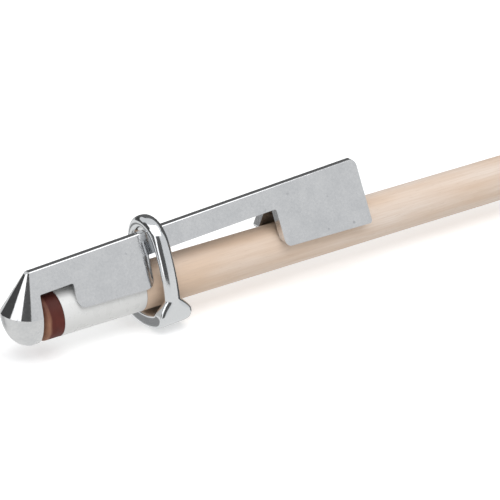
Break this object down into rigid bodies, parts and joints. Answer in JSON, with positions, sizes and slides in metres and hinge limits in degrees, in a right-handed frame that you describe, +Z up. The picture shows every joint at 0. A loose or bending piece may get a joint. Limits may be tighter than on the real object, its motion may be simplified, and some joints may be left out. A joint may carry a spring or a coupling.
{
  "type": "cue tip clamp",
  "caption": "Cast cue tip clamp with a bullet nose and a sliding saddle ring, fitted on the ferrule end of a maple cue shaft.",
  "frame": {"origin": "centre of the shaft's cut end, where the rest of the cue carries the part", "axes": "+X along the cue from tip to butt, +Z up towards the clamp's ridge, +Y across"},
  "size_m": [0.1799, 0.0226, 0.0314],
  "materials": {
    "zinc_plate": "satin zinc plating on a casting, fine speckle, bright nose",
    "bright_zinc": "bright glossy zinc plating",
    "maple": "sanded pale maple with fine grain",
    "ferrule_white": "polished off-white",
    "tip_leather": "burnished dark red-brown leather"
  },
  "bodies": {
    "cue": {"maple_shaft": "maple", "ferrule": "ferrule_white", "leather_tip": "tip_leather"},
    "clamp": {"clamp_bracket": "zinc_plate"},
    "ring": {"slide_ring": "bright_zinc"}
  },
  "joints": [
    {"name": "clamp_slide", "type": "slide", "parent": "cue", "child": "clamp", "axis": [-1, 0, 0], "range_m": [0, 0.02]},
    {"name": "ring_slide", "type": "slide", "parent": "clamp", "child": "ring", "axis": [-0.9982, 0, -0.0593], "range_m": [0, 0.03]}
  ]
}
